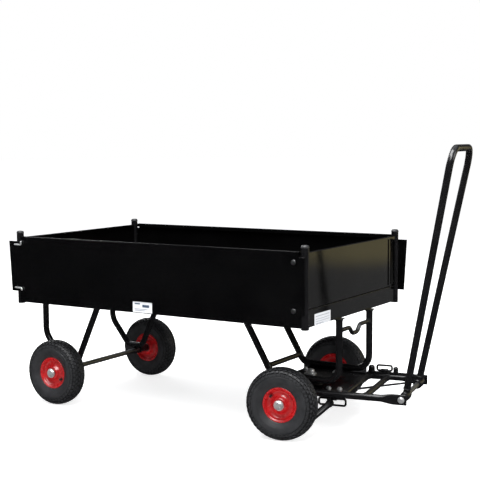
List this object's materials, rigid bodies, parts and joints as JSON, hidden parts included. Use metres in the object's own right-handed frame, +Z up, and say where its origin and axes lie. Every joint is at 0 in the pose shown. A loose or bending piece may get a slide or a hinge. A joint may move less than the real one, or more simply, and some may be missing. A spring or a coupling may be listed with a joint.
{
  "type": "four-wheel hand cart",
  "caption": "Flat-bed hand cart in black steel with lift-out side panels, tubular legs, turntable steering with a tilting U-shaped handle, and pneumatic wheels on red rims.",
  "frame": {"origin": "on the ground, in the middle of the box around the whole cart as it stands", "axes": "+X forward, to the handle end; +Y to the cart's left; +Z up"},
  "size_m": [1.7429, 0.8, 1.0332],
  "materials": {
    "gloss_black_sheet": "gloss powder coat",
    "black_tube_paint": "semi-gloss powder coat",
    "black_plastic": "matt moulded plastic",
    "zinc_plate": "bright zinc plate",
    "bright_steel": "drawn steel bar",
    "tyre_rubber": "black rubber with block tread",
    "red_rim": "gloss red enamel",
    "white_label": "blank white sticker"
  },
  "bodies": {
    "chassis": {"deck_sheet": "gloss_black_sheet", "deck_edge_rails": "gloss_black_sheet", "deck_cross_members": "gloss_black_sheet", "corner_posts": "black_tube_paint", "post_caps": "black_plastic", "rear_leg_loop_right": "black_tube_paint", "rear_leg_loop_left": "black_tube_paint", "front_leg_loop_right": "black_tube_paint", "front_leg_loop_left": "black_tube_paint", "rear_cross_tube": "black_tube_paint", "front_loop_cross_tube": "black_tube_paint", "front_cross_bar": "black_tube_paint", "leg_pads": "black_tube_paint", "rear_axle_rod": "bright_steel", "rear_axle_saddles": "black_tube_paint", "rear_axle_caps": "zinc_plate", "turntable_top_plate": "black_tube_paint", "top_plate_bolts": "zinc_plate", "kingpin": "bright_steel", "kingpin_nut": "zinc_plate", "blank_labels": "white_label"},
    "right_side": {"side_panel_right": "gloss_black_sheet", "panel_hooks_right": "zinc_plate", "panel_bolts_right": "zinc_plate"},
    "left_side": {"side_panel_left": "gloss_black_sheet", "panel_hooks_left": "zinc_plate", "panel_bolts_left": "zinc_plate"},
    "rear_end": {"rear_gate": "gloss_black_sheet"},
    "front_end": {"front_gate": "gloss_black_sheet"},
    "steering": {"turntable_disc": "black_tube_paint", "turntable_hub": "black_tube_paint", "front_axle_beam": "black_tube_paint", "front_axle_rod": "bright_steel", "front_axle_caps": "zinc_plate", "drawbar_rail_right": "black_tube_paint", "drawbar_rail_left": "black_tube_paint", "drawbar_cross_tubes": "black_tube_paint", "drawbar_plate": "black_tube_paint", "drawbar_tie_rod": "black_tube_paint", "drawbar_bolts": "zinc_plate", "handle_pivot_shaft": "bright_steel", "pivot_collars": "black_tube_paint", "lower_pin_bar": "black_tube_paint", "upper_pin_boss": "black_tube_paint"},
    "lower_bail": {"lower_bail": "black_tube_paint"},
    "upper_bail": {"upper_bail": "black_tube_paint"},
    "handle": {"handle_tube": "black_tube_paint", "handle_bushes": "black_tube_paint"},
    "rear_right_wheel": {"rear_right_tyre": "tyre_rubber", "rear_right_rim": "red_rim", "rear_right_hub": "bright_steel"},
    "rear_left_wheel": {"rear_left_tyre": "tyre_rubber", "rear_left_rim": "red_rim", "rear_left_hub": "bright_steel"},
    "front_right_wheel": {"front_right_tyre": "tyre_rubber", "front_right_rim": "red_rim", "front_right_hub": "bright_steel"},
    "front_left_wheel": {"front_left_tyre": "tyre_rubber", "front_left_rim": "red_rim", "front_left_hub": "bright_steel"}
  },
  "joints": [
    {"name": "steer", "type": "hinge", "parent": "chassis", "child": "steering", "pos_m": [0.278, 0, 0.16], "axis": [0, 0, 1], "range_deg": [-50, 30]},
    {"name": "handle_tilt", "type": "hinge", "parent": "steering", "child": "handle", "pos_m": [0.66306, 0.0679, 0.142], "axis": [-0.1736, 0.9848, 0], "range_deg": [-8, 82]},
    {"name": "right_side_lift", "type": "slide", "parent": "chassis", "child": "right_side", "axis": [0, 0, 1], "range_m": [0, 0.23]},
    {"name": "left_side_lift", "type": "slide", "parent": "chassis", "child": "left_side", "axis": [0, 0, 1], "range_m": [0, 0.23]},
    {"name": "rear_gate_lift", "type": "slide", "parent": "chassis", "child": "rear_end", "axis": [0, 0, 1], "range_m": [0, 0.23]},
    {"name": "front_gate_lift", "type": "slide", "parent": "chassis", "child": "front_end", "axis": [0, 0, 1], "range_m": [0, 0.23]},
    {"name": "lower_bail_swing", "type": "hinge", "parent": "steering", "child": "lower_bail", "pos_m": [0.43635, -0.13211, 0.122], "axis": [0.9848, 0.1736, 0], "range_deg": [0, 45]},
    {"name": "upper_bail_swing", "type": "hinge", "parent": "steering", "child": "upper_bail", "pos_m": [0.4879, 0.21471, 0.1655], "axis": [0.9848, 0.1736, 0], "range_deg": [-80, 80]},
    {"name": "rear_right_spin", "type": "hinge", "parent": "chassis", "child": "rear_right_wheel", "pos_m": [-0.707, -0.315, 0.13], "axis": [0, 1, 0], "continuous": true},
    {"name": "rear_left_spin", "type": "hinge", "parent": "chassis", "child": "rear_left_wheel", "pos_m": [-0.707, 0.315, 0.13], "axis": [0, 1, 0], "continuous": true},
    {"name": "front_right_spin", "type": "hinge", "parent": "steering", "child": "front_right_wheel", "pos_m": [0.33426, -0.31908, 0.13], "axis": [-0.1736, 0.9848, 0], "continuous": true},
    {"name": "front_left_spin", "type": "hinge", "parent": "steering", "child": "front_left_wheel", "pos_m": [0.22174, 0.31908, 0.13], "axis": [-0.1736, 0.9848, 0], "continuous": true}
  ]
}
